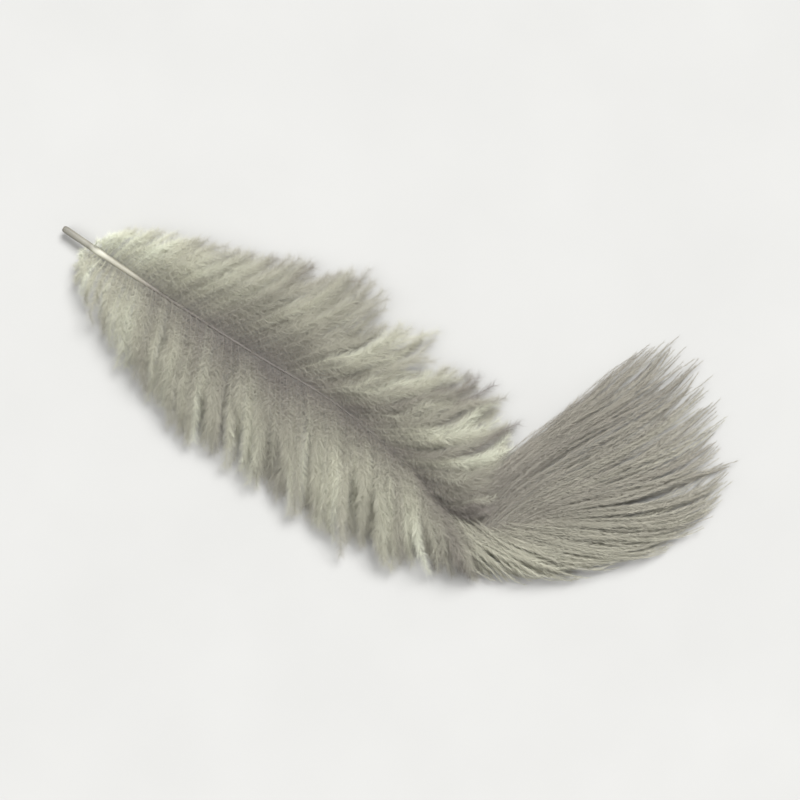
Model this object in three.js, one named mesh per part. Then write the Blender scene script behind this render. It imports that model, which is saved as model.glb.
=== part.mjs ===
// A grey marabou feather lying flat: a horn shaft, a downy vane along each side of it, and a plume that
// fans out sideways at the bent tip. The vanes and the plume are the soft bodies that the down fills, out
// to the tips of its barbs, and they lie on the surface with the shaft held up between them.
// Millimetres, +Z up. X runs from the quill end towards the tip, and Y towards the left vane.
import * as THREE from "three";

// Shaft: its centre line from the cut quill end to the tip, and its radius at even shares of that length
const SHAFT_ROUTE = [
  [0, 0, 1.3],
  [8, 0.3, 1.9],
  [20, 0.8, 2.6],
  [33, 1.6, 3.2],
  [47, 2.7, 3.4],
  [60, 1.7, 3.2],
  [69, -0.4, 2.9],
  [75, 0, 2.6],
];
const SHAFT_RADII = [0.54, 0.46, 0.31, 0.25, 0.22, 0.19, 0.16, 0.13, 0.1];
const SHAFT_STEPS = 64;
const SHAFT_SIDES = 10;

// Vanes: the shares of the shaft that carry the first and last barbs, and the outline of their tips
const FIRST_BARB = 0.075;
const LAST_BARB = 0.975;
const SHAFT_CLEARANCE = 0.35;
const VANE_RIBS = 36;
const LEFT_OUTLINE = [
  [6, 2.4],
  [8, 5.6],
  [15, 9.7],
  [25, 13.2],
  [35, 18],
  [41, 21],
  [50, 19.8],
  [58, 18.8],
  [67, 18.2],
  [70.3, 14],
  [72.8, 9.5],
  [74.6, 4],
];
const RIGHT_OUTLINE = [
  [4.2, -1.6],
  [5.2, -4.2],
  [9, -6.6],
  [17, -10.2],
  [26, -12.4],
  [32, -14],
  [44, -12.9],
  [55, -13.3],
  [64, -11.8],
  [71, -9.4],
  [76, -7.2],
  [78.5, -5.2],
];

// Plume: the line that its barbs leave from, just past the end of the shaft, and the outline of their tips
const PLUME_ROOTS = [
  [76, 2.6],
  [76.4, 0.3],
  [76.2, -2.4],
];
const PLUME_OUTLINE = [
  [80.5, 36],
  [88, 36],
  [97, 31.5],
  [102, 26],
  [100, 17.5],
  [92, 8],
  [83, -1.5],
];
const PLUME_RIBS = 24;

// Loft of the down: the height of its upper side from the shaft (0) to the barb tips (1), for a full-length
// barb. Shorter barbs stand lower, by as much as LEAST_LOFT.
const VANE_LOFT = [
  [0, 2.6],
  [0.15, 4.6],
  [0.4, 6.6],
  [0.7, 4.8],
  [1, 1.2],
];
const PLUME_LOFT = [
  [0, 3],
  [0.25, 4.4],
  [0.5, 4.8],
  [0.8, 3.2],
  [1, 1],
];
const FULL_BARB = 13;
const LEAST_LOFT = 0.5;
const LOFT_STEPS = 8;
// The pad thins out over its first and last ribs, to EDGE_LOFT of its height at the very edge.
const EDGE_LOFT = 0.35;
const EDGE_RIBS = 6;

const HORN = { color: 0xd8d3bd, roughness: 0.38, metalness: 0 };
const GREY_DOWN = { color: 0xa7a396, roughness: 0.95, metalness: 0 };
const PLUME_DOWN = { color: 0x9d988a, roughness: 0.9, metalness: 0 };

const vector2 = ([x, y]) => new THREE.Vector2(x, y);
const spline = (points) => new THREE.SplineCurve(points.map(vector2));

// A closed body through rings that have the same number of points, with a flat cap on the first and last.
// Each ring turns anticlockwise when seen from the ring after it.
function loft(rings) {
  const sides = rings[0].length;
  const index = [];
  for (let ring = 0; ring + 1 < rings.length; ring++) {
    for (let side = 0; side < sides; side++) {
      const a = ring * sides + side;
      const b = ring * sides + ((side + 1) % sides);
      index.push(a, b, b + sides, a, b + sides, a + sides);
    }
  }
  const last = (rings.length - 1) * sides;
  for (let side = 1; side + 1 < sides; side++) {
    index.push(0, side + 1, side);
    index.push(last, last + side, last + side + 1);
  }
  const geometry = new THREE.BufferGeometry().setFromPoints(rings.flat());
  geometry.setIndex(index);
  geometry.computeVertexNormals();
  return geometry;
}

function node(name, geometry, finish) {
  const mesh = new THREE.Mesh(geometry, new THREE.MeshStandardMaterial(finish));
  mesh.name = name;
  return mesh;
}

const shaftLine = new THREE.CatmullRomCurve3(SHAFT_ROUTE.map((p) => new THREE.Vector3(...p)));
const radiusLine = spline(SHAFT_RADII.map((radius, i) => [i, radius]));
const shaftRadius = (share) => radiusLine.getPoint(share).y;

// The tapering shaft: bare quill first, then the part that carries the barbs.
function shaft() {
  const up = new THREE.Vector3(0, 0, 1);
  const rings = [];
  for (let step = 0; step <= SHAFT_STEPS; step++) {
    const share = step / SHAFT_STEPS;
    const centre = shaftLine.getPointAt(share);
    const left = new THREE.Vector3().crossVectors(up, shaftLine.getTangentAt(share)).normalize();
    const over = new THREE.Vector3().crossVectors(shaftLine.getTangentAt(share), left);
    const ring = [];
    for (let side = 0; side < SHAFT_SIDES; side++) {
      const angle = (side / SHAFT_SIDES) * 2 * Math.PI;
      const radius = shaftRadius(share);
      ring.push(
        centre
          .clone()
          .addScaledVector(left, radius * Math.cos(angle))
          .addScaledVector(over, radius * Math.sin(angle)),
      );
    }
    rings.push(ring);
  }
  return loft(rings);
}

// A flat-bottomed pad of down whose ribs run from the barbs' roots to their tips, as the barbs do.
// The ribs come in order, clockwise or anticlockwise, as turn says: 1 or -1.
function downPad(roots, tips, loftPoints, turn) {
  const heights = spline(loftPoints);
  const rings = roots.map((root, rib) => {
    const tip = tips[rib];
    const fromEdge = Math.min(rib, roots.length - 1 - rib) / EDGE_RIBS;
    const edge = EDGE_LOFT + (1 - EDGE_LOFT) * THREE.MathUtils.smoothstep(fromEdge, 0, 1);
    const full = LEAST_LOFT + (1 - LEAST_LOFT) * Math.min(1, root.distanceTo(tip) / FULL_BARB);
    const below = [];
    const above = [];
    for (let step = 0; step <= LOFT_STEPS; step++) {
      const height = heights.getPoint(step / LOFT_STEPS);
      const place = root.clone().lerp(tip, height.x);
      below.push(new THREE.Vector3(place.x, place.y, 0));
      above.push(new THREE.Vector3(place.x, place.y, height.y * full * edge));
    }
    const ring = [...below, ...above.reverse()];
    return turn > 0 ? ring : ring.reverse();
  });
  return loft(rings);
}

// A vane's barbs leave the shaft on one side of it: 1 is left, -1 is right.
function vane(outline, side) {
  const tips = spline(outline).getSpacedPoints(VANE_RIBS);
  const roots = tips.map((_, rib) => {
    const share = FIRST_BARB + (LAST_BARB - FIRST_BARB) * (rib / VANE_RIBS);
    const centre = shaftLine.getPointAt(share);
    return new THREE.Vector2(centre.x, centre.y + side * (shaftRadius(share) + SHAFT_CLEARANCE));
  });
  return downPad(roots, tips, VANE_LOFT, side);
}

function plume() {
  const roots = spline(PLUME_ROOTS).getSpacedPoints(PLUME_RIBS);
  const tips = spline(PLUME_OUTLINE).getSpacedPoints(PLUME_RIBS);
  return downPad(roots, tips, PLUME_LOFT, 1);
}

const feather = new THREE.Group();
feather.add(
  node("shaft", shaft(), HORN),
  node("left_vane", vane(LEFT_OUTLINE, 1), GREY_DOWN),
  node("right_vane", vane(RIGHT_OUTLINE, -1), GREY_DOWN),
  node("tip_plume", plume(), PLUME_DOWN),
);

// The origin is on the surface that the feather lies on, under the middle of its box.
const box = new THREE.Box3().setFromObject(feather);
const middle = box.getCenter(new THREE.Vector3());
feather.position.set(-middle.x, -middle.y, -box.min.z);

export default feather;
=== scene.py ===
"""Looks of a grey marabou feather that lies on a pale table.

Every barb of the vanes and the plume is a thin tapering tube that leaves the shaft at one heading and
ends at another. It carries barbules, which are flat bent hairs in two rows, and fluff, which is finer and
straight. The feather is drawn on a plan in millimetres: x runs along the shaft from the quill end, y
towards the left vane, and z up from the table.
"""
import math
from dataclasses import dataclass, replace

import bpy
import numpy as np
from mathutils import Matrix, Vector


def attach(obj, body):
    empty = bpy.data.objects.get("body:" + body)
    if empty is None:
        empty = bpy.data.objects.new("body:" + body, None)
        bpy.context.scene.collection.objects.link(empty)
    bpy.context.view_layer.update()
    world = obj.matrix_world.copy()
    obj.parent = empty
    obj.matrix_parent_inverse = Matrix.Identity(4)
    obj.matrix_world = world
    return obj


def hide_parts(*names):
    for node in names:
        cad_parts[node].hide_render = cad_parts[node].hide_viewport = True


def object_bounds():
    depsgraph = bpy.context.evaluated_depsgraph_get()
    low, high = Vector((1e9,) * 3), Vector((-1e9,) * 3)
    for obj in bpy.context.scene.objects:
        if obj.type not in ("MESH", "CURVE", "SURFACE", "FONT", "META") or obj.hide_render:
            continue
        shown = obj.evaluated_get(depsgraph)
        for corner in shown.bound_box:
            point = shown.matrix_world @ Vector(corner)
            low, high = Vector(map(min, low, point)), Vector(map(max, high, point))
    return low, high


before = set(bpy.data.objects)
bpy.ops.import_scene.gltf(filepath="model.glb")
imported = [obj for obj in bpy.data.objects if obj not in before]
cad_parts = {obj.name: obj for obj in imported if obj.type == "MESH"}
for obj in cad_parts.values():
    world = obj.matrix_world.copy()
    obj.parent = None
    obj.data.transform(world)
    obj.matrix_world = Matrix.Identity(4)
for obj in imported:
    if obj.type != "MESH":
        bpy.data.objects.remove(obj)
CAD_LOW, CAD_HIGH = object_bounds()

MM = 0.001
UP = np.array([0.0, 0.0, 1.0])
rng = np.random.default_rng(seed=11)

# The plan's origin is the quill end. The right vane's tips reach RIGHT_REACH to the right of it.
RIGHT_REACH = 14.0
PLAN_ORIGIN = np.array([CAD_LOW.x / MM, CAD_LOW.y / MM + RIGHT_REACH, 0.0])


@dataclass
class Hairs:
    """Barbules or fluff along a barb. Lists are read at even shares of the barb, from root to tip."""

    per_mm: float
    lengths: list
    # Degrees between the hair and its barb
    lean: list
    widths: list
    # How far the hairs turn out of the plane of the two rows, in radians
    spread: float
    bent: bool


@dataclass
class Habit:
    """How the barbs of a vane or of the plume grow."""

    count: int
    # How far the headings at a barb's two ends reach into its curve, as a share of its length
    pull: float
    # How much the layers crowd towards the top of the down
    crowding: float
    # The layers below this share lie loose under the tufts. They are shorter by the first amount, and
    # darker by the second, which is painted shade under the tufts.
    under: float
    under_short: float
    under_painted_shade: float
    # Barbs in a tuft, and how far its tips are drawn together
    tuft: float
    tuft_pull: float
    # Shares of the length by which tips stand out, and by which some barbs are broken off
    ragged: float
    broken: float
    # Degrees by which the headings vary at the root and at the tip
    root_sway: float
    tip_sway: float
    # The share of stray barbs, and the degrees by which their tips turn away
    strays: float
    stray_sway: float
    # Sideways and upright waves, in millimetres at the tip
    wave: float
    heave: float
    wave_turns: float
    # Factors on those waves, at even shares of the way from the first barb to the last
    curl: list
    # How much paler or darker one tuft is than the next, at even shares of the same way
    contrast: list
    # Heights of the down's top and bottom layers over the table, at even shares of a barb from root to tip
    top: list
    bottom: list
    barbules: Hairs
    fluff: Hairs


@dataclass
class Paleness:
    """How pale the barbs are at their roots, middles and tips, from 0, dark, to 1, cream, with painted
    light and shade mixed into the down's own colour. Each list is read at even shares of the way from the
    first barb to the last."""

    roots: list
    middles: list
    tips: list


# Shaft: the centre line from the cut quill end to the tip, and the radius at even shares of its length
SHAFT_ROUTE = [
    (0, 0, 1.3),
    (8, 0.3, 1.9),
    (20, 0.8, 2.6),
    (33, 1.6, 3.2),
    (47, 2.7, 3.4),
    (60, 1.7, 3.2),
    (69, -0.4, 2.9),
    (75, 0, 2.6),
]
SHAFT_RADII = [0.54, 0.46, 0.31, 0.25, 0.22, 0.19, 0.16, 0.13, 0.1]
SHAFT_RINGS = 220
SHAFT_SIDES = 20
# A power above 1 sets the rings closer together near the quill end.
RING_CROWDING = 1.15
# Knob where the barbs begin: its place along the shaft, its length, and its swell as a share of the radius
KNOB_PLACE = 6.2
KNOB_LENGTH = 1.0
KNOB_SWELL = 0.2
# The quill end has this share of the full radius, which is reached where the rounding ends.
QUILL_END_SHARE = 0.72
QUILL_END_ROUNDING = 0.5
# Radii of the bore and of the point that closes it, as shares of the quill end's
QUILL_BORE = 0.45
QUILL_BORE_POINT = 0.0001
QUILL_BORE_DEPTH = 2.0
# The groove runs along the underside, and deepens over GROOVE_RISE from the knob on. Its angle round the
# shaft and its width are in radians, and its depth is a share of the radius.
GROOVE_ANGLE = 1.5 * math.pi
GROOVE_WIDTH = 0.5
GROOVE_DEPTH = 0.28
GROOVE_RISE = 8.0

# Vanes: one row for each barb that shapes the outline. A row holds the barb's root as a distance along the
# shaft, the x and y of its tip, and its headings at the root and at the tip, in degrees from the plan's x.
LEFT_BARBS = [
    (5.4, 6.0, 2.6, 130, 110),
    (6.4, 8.0, 5.8, 90, 75),
    (11.0, 15.0, 9.9, 72, 62),
    (19.0, 25.0, 13.3, 66, 66),
    (27.0, 35.0, 18.0, 60, 68),
    (32.0, 40.5, 21.0, 54, 74),
    (35.0, 44.0, 20.0, 50, 72),
    (37.0, 46.6, 16.6, 47, 70),
    (40.5, 51.5, 18.8, 42, 70),
    (43.5, 55.4, 15.4, 38, 66),
    (48.0, 61.5, 17.4, 32, 62),
    (52.0, 66.8, 17.6, 28, 60),
    (58.0, 70.2, 13.6, 24, 62),
    (65.0, 72.8, 9.4, 22, 66),
    (72.0, 75.0, 4.4, 30, 76),
]
RIGHT_BARBS = [
    (4.6, 4.2, -1.9, -130, -125),
    (5.4, 5.2, -4.4, -100, -85),
    (7.5, 9.0, -6.8, -78, -62),
    (12.0, 17.0, -10.2, -62, -54),
    (19.0, 26.0, -12.4, -55, -58),
    (24.0, 32.0, -14.0, -52, -62),
    (34.0, 44.0, -12.9, -45, -60),
    (43.5, 55.0, -13.3, -42, -62),
    (52.0, 64.0, -11.8, -40, -56),
    (60.0, 71.0, -9.4, -38, -46),
    (66.0, 76.5, -7.0, -36, -36),
    (71.0, 80.5, -4.6, -30, -22),
]
VANE_HABIT = Habit(
    count=200,
    pull=0.36,
    crowding=2.2,
    under=0.5,
    under_short=0.06,
    under_painted_shade=0.1,
    tuft=5.5,
    tuft_pull=0.14,
    ragged=0.045,
    broken=0.3,
    root_sway=4,
    tip_sway=9,
    strays=0.03,
    stray_sway=20,
    wave=0.3,
    heave=0.2,
    wave_turns=1.6,
    curl=[1, 1],
    contrast=[0.14, 0.14, 0.18],
    top=[3.0, 4.9, 6.2, 5.2, 2.0],
    bottom=[2.4, 1.0, 0.4, 0.3, 0.3],
    barbules=Hairs(
        per_mm=18,
        lengths=[1.1, 1.7, 1.8, 1.8, 1.7, 1.5],
        lean=[70, 56, 48, 46, 40],
        widths=[0.036, 0.036, 0.032, 0.017],
        spread=0.7,
        bent=True,
    ),
    fluff=Hairs(
        per_mm=45,
        lengths=[0.9, 1.1, 1.2, 1.3, 1.4, 1.4],
        lean=[80, 66, 58, 54, 50],
        widths=[0.026, 0.026, 0.024, 0.014],
        spread=1.1,
        bent=False,
    ),
)
# The left vane is even at its pale shoulder, and curls towards its end.
LEFT_HABIT = replace(VANE_HABIT, curl=[0.8, 1, 1.6, 3.4, 1.2], contrast=[0.06, 0.13, 0.14, 0.21, 0.14])
# The barbs leave the side of the shaft near the quill and its upper edges from CLIMB_END on, so that the
# down closes over the shaft there. Angles are in degrees above the shaft's side.
CLIMB_START = 8.0
CLIMB_END = 18.0
LOW_ROOT = -10.0
HIGH_ROOT = 78.0
ROOT_SCATTER = 14.0
# The barbs start a little below the shaft's surface, at this share of its radius.
ROOT_RADIUS_SHARE = 0.9

# Plume: one row for each barb that shapes the fan, from its left edge round to its right edge. A row holds
# the x and y of the root, the x and y of the tip, and the headings at the root and at the tip.
PLUME_BARBS = [
    (70.6, 0.1, 72.4, 10.0, 80, 92),
    (72.3, 0.6, 79.0, 35.5, 102, 86),
    (74.0, 0.6, 84.5, 36.6, 96, 86),
    (76.2, 1.4, 90.5, 34.8, 84, 80),
    (78.5, 3.4, 95.4, 30.8, 66, 76),
    (79.5, 4.6, 99.4, 26.4, 52, 70),
    (78.5, 3.4, 99.8, 20.2, 38, 62),
    (76.5, 1.4, 96.8, 13.3, 24, 54),
    (74.0, 0.0, 92.0, 6.4, 8, 44),
    (71.5, -0.4, 86.5, 0.5, -10, 24),
    (68.5, -0.6, 80.0, -5.2, -30, -16),
]
PLUME_ROOT_SCATTER = 0.5
PLUME_HABIT = Habit(
    count=560,
    pull=0.34,
    crowding=2.0,
    under=0.35,
    under_short=0.08,
    under_painted_shade=0.05,
    tuft=10,
    tuft_pull=0.16,
    ragged=0.04,
    broken=0.25,
    root_sway=4,
    tip_sway=6,
    strays=0.04,
    stray_sway=11,
    wave=0.5,
    heave=0.15,
    wave_turns=1.2,
    curl=[1, 1],
    contrast=[0.05, 0.05, 0.03],
    top=[3.0, 4.2, 4.5, 3.4, 1.3],
    bottom=[2.2, 1.4, 0.7, 0.4, 0.3],
    barbules=Hairs(
        per_mm=2.4,
        lengths=[0.6, 1.0, 1.1, 1.1, 1.0, 0.6],
        lean=[34, 28, 24, 20, 12],
        widths=[0.056, 0.056, 0.05],
        spread=0.8,
        bent=True,
    ),
    fluff=Hairs(
        per_mm=9,
        lengths=[0.5, 0.8, 0.9, 1.0, 0.9, 0.6],
        lean=[38, 30, 26, 22, 16],
        widths=[0.046, 0.046, 0.042],
        spread=1.0,
        bent=False,
    ),
)

# Shades of the three pieces of down. They are partly the down's own colour, darker at the roots and cream
# at the tips, and partly painted light and shade: the roots by the shaft are darker for painted shade in
# the groove, slopes that face away from the key light are paler as painted light, and the plume's first
# roots are darker for painted shade in the gap beside the left vane.
LEFT_PALE_WITH_PAINTED_LIGHT = Paleness(
    roots=[0.9, 0.34, 0.24, 0.26, 0.2],
    middles=[0.94, 0.67, 0.61, 0.54, 0.22],
    tips=[0.74, 0.42, 0.58, 0.44, 0.24],
)
RIGHT_PALE_WITH_PAINTED_LIGHT = Paleness(
    roots=[0.7, 0.21, 0.23, 0.24],
    middles=[0.8, 0.58, 0.7, 0.46],
    tips=[0.7, 0.6, 0.6, 0.38],
)
PLUME_PALE_WITH_PAINTED_LIGHT = Paleness(
    roots=[0.28, 0.38, 0.48, 0.5],
    middles=[0.37, 0.43, 0.59, 0.7],
    tips=[0.4, 0.41, 0.52, 0.64],
)

# Chance in a barb's reach, heading and shade: the part that its tuft shares, and the part that is its own
TUFT_PARTS = np.array([[0.5], [0.7], [0.7]])
OWN_PARTS = np.array([[0.8], [0.5], [0.6]])
# How far barbs scatter into the next tuft, in tufts, and the least and most that a tuft draws them in
TUFT_SCATTER = 0.35
TUFT_HOLD = (0.6, 1.2)
# A higher power makes long breaks rarer.
BREAK_RARITY = 4
# Sway at the roots: how many barbs it changes over, the part that they share and the part of each one
SWAY_NEIGHBOURS = 6
SWAY_SHARED = 0.9
SWAY_OWN = 0.5
# Waves: how many barbs they change over, how far their starts vary, in turns, and by what shares their
# turns and their sizes vary
WAVE_NEIGHBOURS = 8
WAVE_START_SHARED = 0.35
WAVE_START_OWN = 0.08
WAVE_TURNS_SPREAD = 0.2
WAVE_SIZE_SPREAD = 0.5
# Bell curves are cut off at this many spreads from their middle.
BELL_SPREADS = 3

# Short barbs stand less high, and carry shorter hairs, than barbs of the full length.
FULL_BARB = 13.0
LEAST_LOFT = 0.5
LEAST_HAIR = 0.65
# Least heights over the table
LOWEST_BARB = 0.16
LOWEST_HAIR = 0.06
# The share of a barb over which it comes away from the height of its root on the shaft
ROOT_HOLD = 0.25
# The part of a barb's own shade that shows at its root. All of it shows at the tip.
ROOT_SHADE = 0.35

# Tubes of the barbs: steps along one, sides round it, and radii at its root and tip
BARB_STEPS = 18
BARB_SIDES = 3
BARB_ROOT_RADIUS = 0.045
BARB_TIP_RADIUS = 0.006
# A power below 1 thins the barbs sooner.
BARB_TAPER = 0.8
# Each barb has a strip of the texture to itself, with this share of it free at either edge.
BARB_UV_MARGIN = 0.08

# Hairs: the fewest on a barb. A power below 1 sets them closer together near its tip.
FEWEST_HAIRS = 2
HAIR_CROWDING = 0.8
# Factors on the leans and lengths: the spread round 1 of the first, and the least and most of the second
HAIR_LEAN_SPREAD = 0.22
HAIR_LENGTH_RANGE = (0.55, 1.25)
# How strongly the flat sides of the hairs face up
HAIR_FACE_UP = 1.2
# From its middle on, a bent hair has this share of its lean, and at its middle this share of its width.
BENT_LEAN = 0.45
BENT_WIDTH = 0.8
# Places along a hair. The root is a little off 0 so that the two rows stay apart on the texture.
HAIR_ROOT = 0.04
HAIR_MIDDLE = 0.5
HAIR_TIP = 1.0
# The share of a barb's strip of the texture that a hair crosses, and half the hair's width there, in gaps
# between hairs
HAIR_UV_REACH = 0.46
HAIR_UV_HALF_WIDTH = 0.8


# Curves

def unit(vectors):
    return vectors / np.linalg.norm(vectors, axis=-1, keepdims=True)


def smooth_rows(rows, places):
    """Rows of numbers read at fractional places between them, on a smooth curve through every row."""
    rows = np.asarray(rows, float)
    if rows.ndim == 1:
        return smooth_rows(rows[:, None], places)[..., 0]
    padded = np.vstack([2 * rows[0] - rows[1], rows, 2 * rows[-1] - rows[-2]])
    first = np.clip(np.asarray(places).astype(int), 0, len(rows) - 2)
    t = (places - first)[..., None]
    a, b, c, d = (padded[first + step] for step in range(4))
    return b + t / 2 * (c - a + t * (2 * a - 5 * b + 4 * c - d + t * (3 * b - a - 3 * c + d)))


def at_shares(values, shares):
    """Values given at even shares from 0 to 1, read at any share."""
    return smooth_rows(values, np.asarray(shares) * (len(values) - 1))


class Line:
    """A smooth line through points, read by the distance along it."""

    def __init__(self, points, samples=600):
        self.points = at_shares(points, np.linspace(0, 1, samples))
        steps = np.linalg.norm(np.diff(self.points, axis=0), axis=1)
        self.distances = np.concatenate([[0], np.cumsum(steps)])
        self.length = self.distances[-1]

    def at(self, distance):
        columns = [np.interp(distance, self.distances, column) for column in self.points.T]
        return np.stack(columns, axis=-1)

    def ahead(self, distance, step=0.2):
        before = self.at(np.maximum(distance - step, 0))
        after = self.at(np.minimum(distance + step, self.length))
        return unit(after - before)


def headings(degrees):
    angles = np.radians(degrees)
    return np.stack([np.cos(angles), np.sin(angles)], axis=-1)


def right_and_over(ahead):
    """Directions to the right of lines and over them."""
    right = unit(np.cross(ahead, UP))
    return right, np.cross(right, ahead)


def turned(start, end, angles):
    """Directions turned by angles from the start towards the end."""
    return np.cos(angles)[..., None] * start + np.sin(angles)[..., None] * end


def barb_plans(roots, tips, first_headings, last_headings, pull):
    """The barbs seen from above: cubic curves from roots to tips that leave and arrive at the headings."""
    reach = np.linalg.norm(tips - roots, axis=1)[:, None]
    leave = roots + pull * reach * headings(first_headings)
    arrive = tips - pull * reach * headings(last_headings)
    t = np.linspace(0, 1, BARB_STEPS + 1)[None, :, None]
    weights = [(1 - t) ** 3, 3 * t * (1 - t) ** 2, 3 * t * t * (1 - t), t**3]
    return sum(weight * point[:, None] for weight, point in zip(weights, (roots, leave, arrive, tips)))


def barb_heights(plans, root_heights, layers, top, bottom):
    """Heights along each barb. Layer 1 is the top of the down and layer 0 the bottom."""
    shares = np.linspace(0, 1, BARB_STEPS + 1)[None, :]
    reach = np.linalg.norm(plans[:, -1] - plans[:, 0], axis=1)
    full = (LEAST_LOFT + (1 - LEAST_LOFT) * np.clip(reach / FULL_BARB, 0, 1))[:, None]
    upper = at_shares(top, shares) * full
    lower = np.minimum(at_shares(bottom, shares), upper)
    free = lower + layers[:, None] * (upper - lower)
    hold = np.clip(1 - shares / ROOT_HOLD, 0, 1) ** 2
    return free + hold * (root_heights[:, None] - free[:, :1])


def wander(count, neighbours):
    """Random numbers of unit spread that change slowly, over about so many neighbours."""
    bell = np.exp(-0.5 * np.linspace(-BELL_SPREADS, BELL_SPREADS, 2 * BELL_SPREADS * neighbours + 1) ** 2)
    values = np.convolve(rng.normal(size=count + len(bell) - 1), bell, "valid")
    return values / np.sqrt((bell**2).sum())


def spread_evenly(count):
    """Numbers from 0 to 1 in an order that puts high, middle and low ones beside each other everywhere."""
    golden = (math.sqrt(5) - 1) / 2
    return np.arange(count) * golden % 1


def waves(count, size, turns):
    """Gentle waves along barbs, which grow from nothing at the root and go with their neighbours'."""
    shares = np.linspace(0, 1, BARB_STEPS + 1)[None, :]
    starts = WAVE_START_SHARED * wander(count, WAVE_NEIGHBOURS) + WAVE_START_OWN * rng.normal(size=count)
    cycles = turns * (1 + WAVE_TURNS_SPREAD * wander(count, WAVE_NEIGHBOURS))
    sizes = size * (1 + WAVE_SIZE_SPREAD * rng.normal(size=count))
    angles = 2 * np.pi * (shares * cycles[:, None] + starts[:, None])
    return sizes[:, None] * shares * np.sin(angles)


def sideways(plans):
    """Directions on the plan to the left of the barbs, along each of them."""
    along = unit(np.gradient(plans, axis=1))
    return np.stack([-along[..., 1], along[..., 0]], axis=-1)


def tuft_centres(tips, tufts):
    """The middle of each tuft's tips, once for each of its barbs."""
    sizes = np.bincount(tufts)
    sums = np.stack([np.bincount(tufts, weights=column) for column in tips.T], axis=-1)
    return (sums / np.maximum(sizes, 1)[:, None])[tufts]


@dataclass
class Barbs:
    """Grown barbs: their paths, the paleness drawn for their roots, middles and tips, and the shade that
    each one adds to it, which is its tuft's chance tone and, under the tufts, painted shade."""

    paths: np.ndarray
    root_pale: np.ndarray
    middle_pale: np.ndarray
    tip_pale: np.ndarray
    shades: np.ndarray

    def pale(self, barb, share):
        """Paleness on the parabola through the root, the middle and the tip, with the barb's own shade."""
        root = self.root_pale[barb] * (1 - share) * (1 - 2 * share)
        middle = 4 * self.middle_pale[barb] * share * (1 - share)
        tip = self.tip_pale[barb] * share * (2 * share - 1)
        shade = self.shades[barb] * (ROOT_SHADE + (1 - ROOT_SHADE) * share)
        return np.clip(root + middle + tip + shade, 0, 1)


def grow(habit, roots, tips, first_headings, last_headings, pale):
    """Barbs that follow the drawn ends and headings, gathered into tufts over a loose under-layer."""
    count = habit.count
    layers = 1 - spread_evenly(count) ** habit.crowding
    under = layers < habit.under
    stray = rng.random(count) < habit.strays
    tufts = np.floor(np.arange(count) / habit.tuft + TUFT_SCATTER * rng.normal(size=count)).astype(int)
    tufts -= tufts.min()
    tuft_chance = rng.normal(size=(3, tufts.max() + 1))[:, tufts]
    own_chance = rng.normal(size=(3, count))
    reach_chance, turn_chance, shade_chance = TUFT_PARTS * tuft_chance + OWN_PARTS * own_chance

    held = habit.tuft_pull * rng.uniform(*TUFT_HOLD, count) * ~(under | stray)
    tips = tips + held[:, None] * (tuft_centres(tips, tufts) - tips)
    stretch = 1 + habit.ragged * reach_chance
    stretch -= habit.broken * rng.random(count) ** BREAK_RARITY + habit.under_short * under
    tips = roots[:, :2] + (tips - roots[:, :2]) * stretch[:, None]
    sway = SWAY_SHARED * wander(count, SWAY_NEIGHBOURS) + SWAY_OWN * rng.normal(size=count)
    first_headings = first_headings + habit.root_sway * sway
    last_headings = last_headings + habit.tip_sway * turn_chance
    last_headings += habit.stray_sway * stray * rng.normal(size=count)

    places = np.linspace(0, 1, count)
    curl = at_shares(habit.curl, places)
    plans = barb_plans(roots[:, :2], tips, first_headings, last_headings, habit.pull)
    plans += waves(count, habit.wave * curl, habit.wave_turns)[..., None] * sideways(plans)
    heights = barb_heights(plans, roots[:, 2], layers, habit.top, habit.bottom)
    heights += waves(count, habit.heave * curl, habit.wave_turns)
    heights = np.maximum(heights, LOWEST_BARB)
    return Barbs(
        paths=np.concatenate([plans, heights[..., None]], axis=-1),
        root_pale=at_shares(pale.roots, places),
        middle_pale=at_shares(pale.middles, places),
        tip_pale=at_shares(pale.tips, places),
        # Barbs of the under-layer are darker by painted shade under the tufts.
        shades=at_shares(habit.contrast, places) * shade_chance - habit.under_painted_shade * under,
    )


# Meshes

def mesh_object(name, points, triangles, corner_uvs, attributes, material):
    """A piece from arrays: points on the plan in millimetres, triangles, a texture place for each corner,
    and named numbers for each point."""
    mesh = bpy.data.meshes.new(name)
    mesh.vertices.add(len(points))
    mesh.vertices.foreach_set("co", ((points + PLAN_ORIGIN) * MM).astype(np.float32).ravel())
    mesh.loops.add(triangles.size)
    mesh.loops.foreach_set("vertex_index", triangles.astype(np.int32).ravel())
    mesh.polygons.add(len(triangles))
    mesh.polygons.foreach_set("loop_start", np.arange(0, triangles.size, 3, dtype=np.int32))
    mesh.update(calc_edges=True)
    mesh.shade_smooth()
    layer = mesh.uv_layers.new(name="OFBake")
    layer.data.foreach_set("uv", corner_uvs.astype(np.float32).ravel())
    for attribute, values in attributes.items():
        numbers = mesh.attributes.new(attribute, "FLOAT", "POINT")
        numbers.data.foreach_set("value", values.astype(np.float32).ravel())
    mesh.materials.append(material)
    piece = bpy.data.objects.new(name, mesh)
    bpy.context.scene.collection.objects.link(piece)
    return piece


def around(ahead, angles):
    """Directions out from lines, at angles round them from their right over their top."""
    right, over = right_and_over(ahead)
    return turned(right[..., None, :], over[..., None, :], angles)


def ring_triangles(rings, sides):
    """Triangles between rings of points, and the ring and side of each of their corners."""
    ring, side = np.meshgrid(np.arange(rings - 1), np.arange(sides), indexing="ij")
    ring, side = ring.ravel(), side.ravel()
    steps = [(0, 0), (0, 1), (1, 1), (0, 0), (1, 1), (1, 0)]
    corner_rings = np.stack([ring + along for along, _ in steps], axis=-1).reshape(-1, 3)
    corner_sides = np.stack([side + across for _, across in steps], axis=-1).reshape(-1, 3)
    return corner_rings * sides + corner_sides % sides, corner_rings, corner_sides


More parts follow.
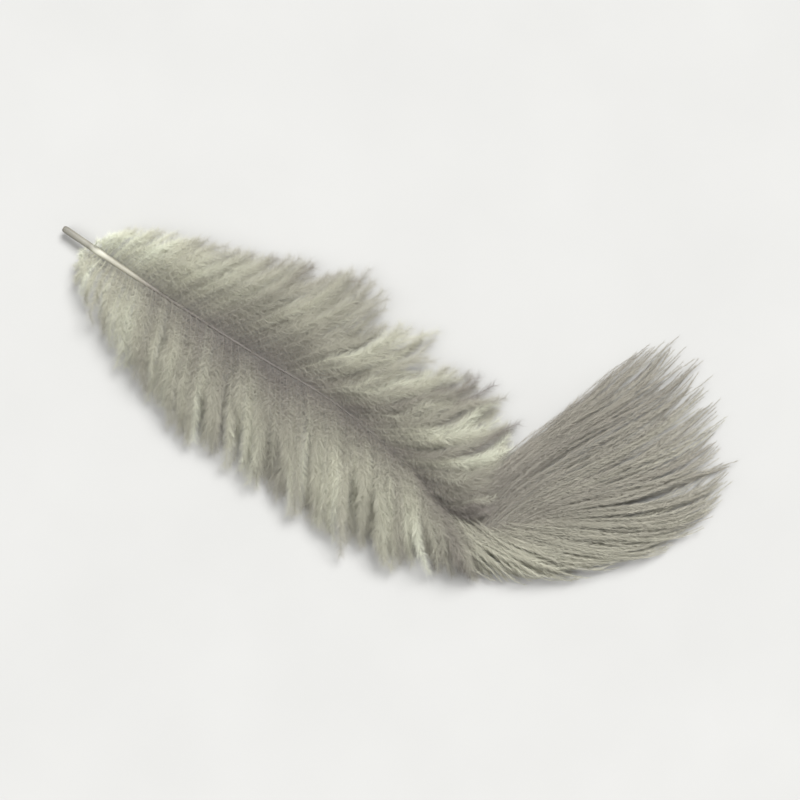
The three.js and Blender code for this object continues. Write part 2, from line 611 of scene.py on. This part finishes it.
def barb_tubes(name, barbs, material):
    """All the barbs of a piece as thin tapering tubes."""
    paths = barbs.paths
    count, steps = paths.shape[:2]
    shares = np.linspace(0, 1, steps)
    ahead = unit(np.gradient(paths, axis=1))
    angles = 2 * np.pi * np.arange(BARB_SIDES) / BARB_SIDES
    radii = BARB_ROOT_RADIUS + (BARB_TIP_RADIUS - BARB_ROOT_RADIUS) * shares**BARB_TAPER
    points = paths[:, :, None] + radii[:, None, None] * around(ahead, angles)
    triangles, rings, sides = ring_triangles(steps, BARB_SIDES)
    barb = np.arange(count)[:, None, None]
    across = (barb + BARB_UV_MARGIN + (1 - 2 * BARB_UV_MARGIN) * sides[None] / BARB_SIDES) / count
    along = np.broadcast_to(rings[None] / (steps - 1), across.shape)
    pale = barbs.pale(np.arange(count)[:, None], shares[None])
    attributes = {
        "pale": np.repeat(pale, BARB_SIDES),
        "reach": np.ones(points.shape[:3]),
    }
    return mesh_object(
        name,
        points.reshape(-1, 3),
        (triangles[None] + barb * steps * BARB_SIDES).reshape(-1, 3),
        np.stack([across, along], axis=-1),
        attributes,
        material,
    )


def on_barbs(paths, barb, share):
    """Points at shares of barbs, and the headings of the barbs there."""
    last = paths.shape[1] - 1
    place = share * last
    before = np.minimum(place.astype(int), last - 1)
    part = (place - before)[:, None]
    start = paths[barb, before]
    end = paths[barb, before + 1]
    return start * (1 - part) + end * part, unit(end - start)


def hair_mesh(name, barbs, hairs, material):
    """The hairs of a piece, in two rows along each barb. A bent hair is a strip of three triangles, and a
    straight one is a single triangle."""
    count = len(barbs.paths)
    barb_lengths = np.linalg.norm(np.diff(barbs.paths, axis=1), axis=2).sum(axis=1)
    numbers = np.maximum(FEWEST_HAIRS, barb_lengths * hairs.per_mm).astype(int)
    barb = np.repeat(np.arange(count), numbers)
    order = np.arange(numbers.sum()) - np.repeat(np.cumsum(numbers) - numbers, numbers)
    total = len(barb)
    share = ((order + rng.random(total)) / numbers[barb]) ** HAIR_CROWDING

    base, ahead = on_barbs(barbs.paths, barb, share)
    right, over = right_and_over(ahead)
    hand = np.where(order % 2 == 0, 1.0, -1.0)[:, None]
    outward = turned(hand * right, over, hairs.spread * rng.normal(size=total))
    lean = np.radians(at_shares(hairs.lean, share)) * rng.normal(1, HAIR_LEAN_SPREAD, total)
    length = at_shares(hairs.lengths, share) * rng.uniform(*HAIR_LENGTH_RANGE, total)
    length *= np.clip(barb_lengths / FULL_BARB, LEAST_HAIR, 1)[barb]
    leave = turned(ahead, outward, lean)
    facing = unit(HAIR_FACE_UP * over + rng.normal(size=(total, 3)))
    flat = at_shares(hairs.widths, share)[:, None] / 2 * unit(np.cross(leave, facing))
    # Reach is the place of each point along its hair, and slip its place across the hair.
    if hairs.bent:
        half = length[:, None] / 2
        middle = base + half * leave
        tip = middle + half * turned(ahead, outward, BENT_LEAN * lean)
        narrow = BENT_WIDTH * flat
        points = np.stack([base - flat, base + flat, middle - narrow, middle + narrow, tip], axis=1)
        corners = np.array([(0, 1, 3), (0, 3, 2), (2, 3, 4)])
        reach = np.array([HAIR_ROOT, HAIR_ROOT, HAIR_MIDDLE, HAIR_MIDDLE, HAIR_TIP])
        slip = np.array([-1, 1, -BENT_WIDTH, BENT_WIDTH, 0])
    else:
        tip = base + length[:, None] * leave
        points = np.stack([base - flat, base + flat, tip], axis=1)
        corners = np.array([(0, 1, 2)])
        reach = np.array([HAIR_ROOT, HAIR_ROOT, HAIR_TIP])
        slip = np.array([-1, 1, 0])
    points[..., 2] = np.maximum(points[..., 2], LOWEST_HAIR)

    each = len(reach)
    triangles = (np.arange(total)[:, None, None] * each + corners[None]).reshape(-1, 3)
    across = (barb[:, None] + 0.5 + HAIR_UV_REACH * hand * reach) / count
    along = np.clip(share[:, None] + slip * HAIR_UV_HALF_WIDTH / numbers[barb][:, None], 0, 1)
    uvs = np.stack([across, along], axis=-1)
    attributes = {
        "pale": np.repeat(barbs.pale(barb, share), each),
        "reach": np.broadcast_to(reach, (total, each)),
    }
    return mesh_object(
        name,
        points.reshape(-1, 3),
        triangles,
        uvs.reshape(-1, 2)[triangles.ravel()],
        attributes,
        material,
    )


# Materials

# Noise mostly keeps between these values.
NOISE_LOW = 0.3
NOISE_HIGH = 0.7


def new_material(name):
    material = bpy.data.materials.new(name)
    material.use_nodes = True
    tree = material.node_tree
    return material, tree, tree.nodes["Principled BSDF"]


def attribute_value(tree, name):
    node = tree.nodes.new("ShaderNodeAttribute")
    node.attribute_name = name
    return node.outputs["Fac"]


def ramp(tree, value, stops):
    """A colour that follows a value through stops of place and colour."""
    node = tree.nodes.new("ShaderNodeValToRGB")
    elements = node.color_ramp.elements
    while len(elements) < len(stops):
        elements.new(0.5)
    for element, (place, colour) in zip(elements, stops):
        element.position = place
        element.color = (*colour, 1)
    tree.links.new(value, node.inputs["Fac"])
    return node.outputs["Color"]


def times(tree, first, second):
    node = tree.nodes.new("ShaderNodeMix")
    node.data_type = "RGBA"
    node.blend_type = "MULTIPLY"
    node.inputs["Factor"].default_value = 1
    tree.links.new(first, node.inputs["A"])
    tree.links.new(second, node.inputs["B"])
    return node.outputs["Result"]


def noise(tree, scale, detail, stretch=(1, 1, 1)):
    """Noise over the object's own space. Scale is in features a metre."""
    place = tree.nodes.new("ShaderNodeTexCoord")
    mapping = tree.nodes.new("ShaderNodeMapping")
    mapping.inputs["Scale"].default_value = stretch
    node = tree.nodes.new("ShaderNodeTexNoise")
    node.inputs["Scale"].default_value = scale
    node.inputs["Detail"].default_value = detail
    tree.links.new(place.outputs["Object"], mapping.inputs["Vector"])
    tree.links.new(mapping.outputs["Vector"], node.inputs["Vector"])
    return node.outputs["Fac"]


def grey(level):
    return (level, level, level)


def mottle(tree, value, low, high):
    """A colour that follows noise from the low colour to the high one."""
    return ramp(tree, value, [(NOISE_LOW, low), (NOISE_HIGH, high)])


def down_material(name):
    """Down that runs from a dark mauve grey through warm grey to cream, with patches a little darker. The
    paleness that picks the colour holds painted light and shade as well as the down's own colour.
    """
    material, tree, shader = new_material(name)
    stops = [
        (0.0, (0.2, 0.178, 0.17)),
        (0.25, (0.3, 0.274, 0.242)),
        (0.5, (0.44, 0.42, 0.348)),
        (0.75, (0.64, 0.632, 0.51)),
        (1.0, (0.92, 0.945, 0.79)),
    ]
    colour = ramp(tree, attribute_value(tree, "pale"), stops)
    hair_shade = ramp(tree, attribute_value(tree, "reach"), [(0, grey(0.85)), (1, grey(1.0))])
    patches = mottle(tree, noise(tree, scale=160, detail=2), grey(0.86), grey(1.0))
    colour = times(tree, times(tree, colour, hair_shade), patches)
    tree.links.new(colour, shader.inputs["Base Color"])
    roughness = mottle(tree, noise(tree, scale=900, detail=2), grey(0.62), grey(0.85))
    tree.links.new(roughness, shader.inputs["Roughness"])
    shader.inputs["Specular IOR Level"].default_value = 0.35
    shader.inputs["Sheen Weight"].default_value = 0.25
    shader.inputs["Sheen Roughness"].default_value = 0.5
    return material


def horn_material():
    """Horn that is grey at the quill's end, cream at the knob and dark towards the tip. The knob's bright
    band is partly a painted highlight, the dip just before it is painted shade at the knob's foot, and the
    dark towards the tip is painted shade of the groove between the vanes.
    """
    material, tree, shader = new_material("horn")
    # The stops at 0.064 and from 0.21 on are painted shade, and the bright band at the knob is partly a
    # painted highlight.
    stops = [
        (0.0, (0.2, 0.19, 0.16)),
        (0.05, (0.29, 0.28, 0.235)),
        (0.064, (0.26, 0.25, 0.21)),
        (0.076, (0.62, 0.615, 0.53)),
        (0.09, (0.62, 0.61, 0.52)),
        (0.11, (0.46, 0.445, 0.37)),
        (0.16, (0.42, 0.4, 0.33)),
        (0.21, (0.22, 0.2, 0.175)),
        (0.28, (0.15, 0.135, 0.12)),
        (1.0, (0.13, 0.12, 0.11)),
    ]
    colour = ramp(tree, attribute_value(tree, "along"), stops)
    streaks = noise(tree, scale=900, detail=3, stretch=(0.06, 1, 1))
    colour = times(tree, colour, mottle(tree, streaks, grey(0.78), grey(1.0)))
    tree.links.new(colour, shader.inputs["Base Color"])
    roughness = mottle(tree, streaks, grey(0.38), grey(0.55))
    tree.links.new(roughness, shader.inputs["Roughness"])
    shader.inputs["Subsurface Weight"].default_value = 0.2
    shader.inputs["Subsurface Scale"].default_value = 0.0006
    shader.inputs["Subsurface Radius"].default_value = (1.0, 0.9, 0.7)
    bump = tree.nodes.new("ShaderNodeBump")
    bump.inputs["Strength"].default_value = 0.35
    bump.inputs["Distance"].default_value = 0.00008
    tree.links.new(streaks, bump.inputs["Height"])
    tree.links.new(bump.outputs["Normal"], shader.inputs["Normal"])
    return material


# Pieces

shaft_line = Line(SHAFT_ROUTE)


def make_shaft(material):
    """The shaft with its rounded, bored quill end, the knob where the barbs begin and the groove below."""
    distances = np.linspace(0, 1, SHAFT_RINGS) ** RING_CROWDING * shaft_line.length
    shares = distances / shaft_line.length
    centres = shaft_line.at(distances)
    ahead = shaft_line.ahead(distances)
    radii = at_shares(SHAFT_RADII, shares)
    radii *= 1 + KNOB_SWELL * np.exp(-(((distances - KNOB_PLACE) / KNOB_LENGTH) ** 2))
    rounding = np.sqrt(np.clip(distances / QUILL_END_ROUNDING, 0, 1))
    radii *= QUILL_END_SHARE + (1 - QUILL_END_SHARE) * rounding
    angles = 2 * np.pi * np.arange(SHAFT_SIDES) / SHAFT_SIDES
    groove_start = np.clip((distances - KNOB_PLACE) / GROOVE_RISE, 0, 1)
    below = np.exp(-(((angles - GROOVE_ANGLE) / GROOVE_WIDTH) ** 2))
    shape = 1 - GROOVE_DEPTH * groove_start[:, None] * below[None]
    directions = around(ahead, angles)
    outer = centres[:, None] + (radii[:, None] * shape)[..., None] * directions
    # The bore is three more rings, from the point that closes it inside the quill out to the quill's end.
    bore_depths = np.array([QUILL_BORE_DEPTH, QUILL_BORE_DEPTH, 0.0])
    bore_radii = np.array([QUILL_BORE_POINT, QUILL_BORE, QUILL_BORE]) * radii[0]
    bore_centres = centres[0] + bore_depths[:, None] * ahead[0]
    bore = bore_centres[:, None] + bore_radii[:, None, None] * directions[:1]
    points = np.concatenate([bore, outer])
    triangles, rings, sides = ring_triangles(len(points), SHAFT_SIDES)
    uvs = np.stack([sides / SHAFT_SIDES, rings / (len(points) - 1)], axis=-1)
    along = np.concatenate([np.zeros(len(bore)), shares])
    attributes = {"along": np.repeat(along, SHAFT_SIDES)}
    piece = mesh_object("shaft_horn", points.reshape(-1, 3), triangles, uvs, attributes, material)
    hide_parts("shaft")
    return piece


def vane_roots(distances, hand):
    """Points where the barbs of one side leave the shaft. Hand is 1 on the left and -1 on the right."""
    climb = np.clip((distances - CLIMB_START) / (CLIMB_END - CLIMB_START), 0, 1)
    scatter = ROOT_SCATTER * rng.normal(size=len(distances))
    angles = np.radians(LOW_ROOT + (HIGH_ROOT - LOW_ROOT + scatter) * climb)
    radii = ROOT_RADIUS_SHARE * at_shares(SHAFT_RADII, distances / shaft_line.length)
    left = hand * radii * np.cos(angles)
    up = radii * np.sin(angles)
    return shaft_line.at(distances) + np.stack([np.zeros_like(radii), left, up], axis=-1)


def grow_vane(habit, rows, hand, pale):
    """The barbs of one vane, from the quill end to the tip."""
    rows = np.array(rows, float)
    count = habit.count
    first, last = rows[0, 0], rows[-1, 0]
    distances = np.sort(first + (last - first) * (np.arange(count) + rng.random(count)) / count)
    places = np.interp(distances, rows[:, 0], np.arange(len(rows)))
    drawn = smooth_rows(rows, places)
    roots = vane_roots(distances, hand)
    return grow(habit, roots, drawn[:, 1:3], drawn[:, 3], drawn[:, 4], pale)


def grow_plume():
    """The barbs of the plume, from the left edge of the fan round to its right edge."""
    count = PLUME_HABIT.count
    places = (np.arange(count) + rng.random(count)) / count
    drawn = at_shares(PLUME_BARBS, places)
    flat_roots = drawn[:, :2] + rng.normal(0, PLUME_ROOT_SCATTER, (count, 2))
    root_heights = np.full((count, 1), SHAFT_ROUTE[-1][2])
    roots = np.concatenate([flat_roots, root_heights], axis=1)
    return grow(PLUME_HABIT, roots, drawn[:, 2:4], drawn[:, 4], drawn[:, 5], PLUME_PALE_WITH_PAINTED_LIGHT)


def make_down(node, habit, barbs, material):
    """The pieces that stand for one soft node."""
    pieces = [
        barb_tubes(node + "_barbs", barbs, material),
        hair_mesh(node + "_barbules", barbs, habit.barbules, material),
        hair_mesh(node + "_fluff", barbs, habit.fluff, material),
    ]
    for piece in pieces:
        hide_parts(node)
    return pieces


vane_down = down_material("grey_down")
plume_down = down_material("plume_down")
left_barbs = grow_vane(LEFT_HABIT, LEFT_BARBS, 1, LEFT_PALE_WITH_PAINTED_LIGHT)
right_barbs = grow_vane(VANE_HABIT, RIGHT_BARBS, -1, RIGHT_PALE_WITH_PAINTED_LIGHT)
plume_barbs = grow_plume()
made = [make_shaft(horn_material())]
made += make_down("left_vane", LEFT_HABIT, left_barbs, vane_down)
made += make_down("right_vane", VANE_HABIT, right_barbs, vane_down)
made += make_down("tip_plume", PLUME_HABIT, plume_barbs, plume_down)
for piece in made:
    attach(piece, "root")


# Table, light and camera

# The picture looks straight down on PICTURE_MIDDLE, a point of the plan, and its right-hand side lies
# VIEW_TURN round from the plan's x axis. The lens and its sensor are in millimetres, and the other lengths
# here in metres.
PICTURE_MIDDLE = np.array([54.3, 8.6, 0.0])
VIEW_TURN = math.radians(36.05)
VIEW_WIDTH = 0.117
VIEW_CENTRE = (PICTURE_MIDDLE + PLAN_ORIGIN) * MM
LENS = 85
SENSOR = 36
CLIP_START = 0.01
TABLE_SIZE = 20


def picture_offset(right, up, height):
    """A point over the picture's middle, moved by distances to the right and up in the picture."""
    turn = np.array([math.cos(VIEW_TURN), math.sin(VIEW_TURN)])
    flat = right * turn + up * np.array([-turn[1], turn[0]])
    return np.array([*(VIEW_CENTRE[:2] + flat), height])


def make_table():
    bpy.ops.mesh.primitive_plane_add(size=TABLE_SIZE)
    table = bpy.context.object
    table.name = "table"
    material, tree, shader = new_material("table")
    tint = mottle(tree, noise(tree, scale=40, detail=3), (0.49, 0.49, 0.48), (0.51, 0.51, 0.5))
    tree.links.new(tint, shader.inputs["Base Color"])
    shader.inputs["Roughness"].default_value = 0.9
    table.data.materials.append(material)


def make_light(name, right, up, height, spread, strength):
    """Even light from one side, as from a wide panel far off. Spread is the panel's width in degrees."""
    light = bpy.data.lights.new(name, "SUN")
    light.angle = math.radians(spread)
    light.energy = strength
    lamp = bpy.data.objects.new(name, light)
    place = picture_offset(right, up, height)
    lamp.location = place
    lamp.rotation_euler = Vector(VIEW_CENTRE - place).to_track_quat("-Z", "Y").to_euler()
    bpy.context.scene.collection.objects.link(lamp)


def make_world():
    world = bpy.data.worlds.new("studio")
    world.use_nodes = True
    background = world.node_tree.nodes["Background"]
    background.inputs["Color"].default_value = (1.0, 0.99, 0.97, 1)
    background.inputs["Strength"].default_value = 0.38
    bpy.context.scene.world = world


def make_camera():
    camera = bpy.data.cameras.new("camera")
    camera.lens = LENS
    camera.sensor_width = SENSOR
    camera.clip_start = CLIP_START
    view = bpy.data.objects.new("camera", camera)
    view.location = VIEW_CENTRE + np.array([0, 0, VIEW_WIDTH * LENS / SENSOR])
    view.rotation_euler = (0, 0, VIEW_TURN)
    bpy.context.scene.collection.objects.link(view)
    bpy.context.scene.camera = view


make_table()
make_light("key", right=0.25, up=0.4, height=0.6, spread=30, strength=4.05)
make_light("fill", right=-0.4, up=-0.1, height=0.6, spread=47, strength=1.2)
make_world()
make_camera()
bpy.context.scene.view_settings.view_transform = "Standard"
